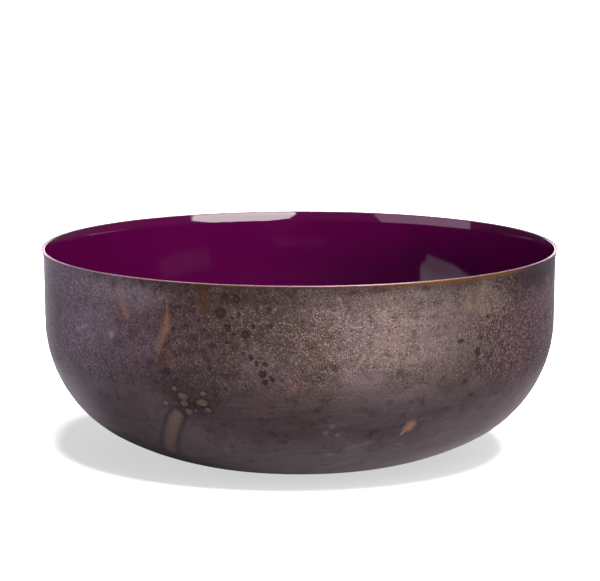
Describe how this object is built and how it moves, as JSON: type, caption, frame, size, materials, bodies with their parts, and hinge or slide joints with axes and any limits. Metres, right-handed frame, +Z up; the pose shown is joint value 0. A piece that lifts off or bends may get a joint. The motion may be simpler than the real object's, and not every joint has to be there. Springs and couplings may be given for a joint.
{
  "type": "bowl",
  "caption": "Deep round bowl of thin spun metal with near-upright walls, a rounded underside with a small flat base, a patinated outside and glossy enamel lining.",
  "frame": {"origin": "centre of the flat underside that the bowl stands on", "axes": "+Z up along the turning axis, from the base towards the rim; the bowl is round, so +X and +Y are any two level directions, and the reference view looks along +Y"},
  "size_m": [0.3, 0.3, 0.125],
  "materials": {
    "patinated_metal": "satin",
    "purple_enamel": "gloss"
  },
  "bodies": {
    "root": {"metal_shell": "patinated_metal", "enamel_lining": "purple_enamel"}
  },
  "joints": []
}
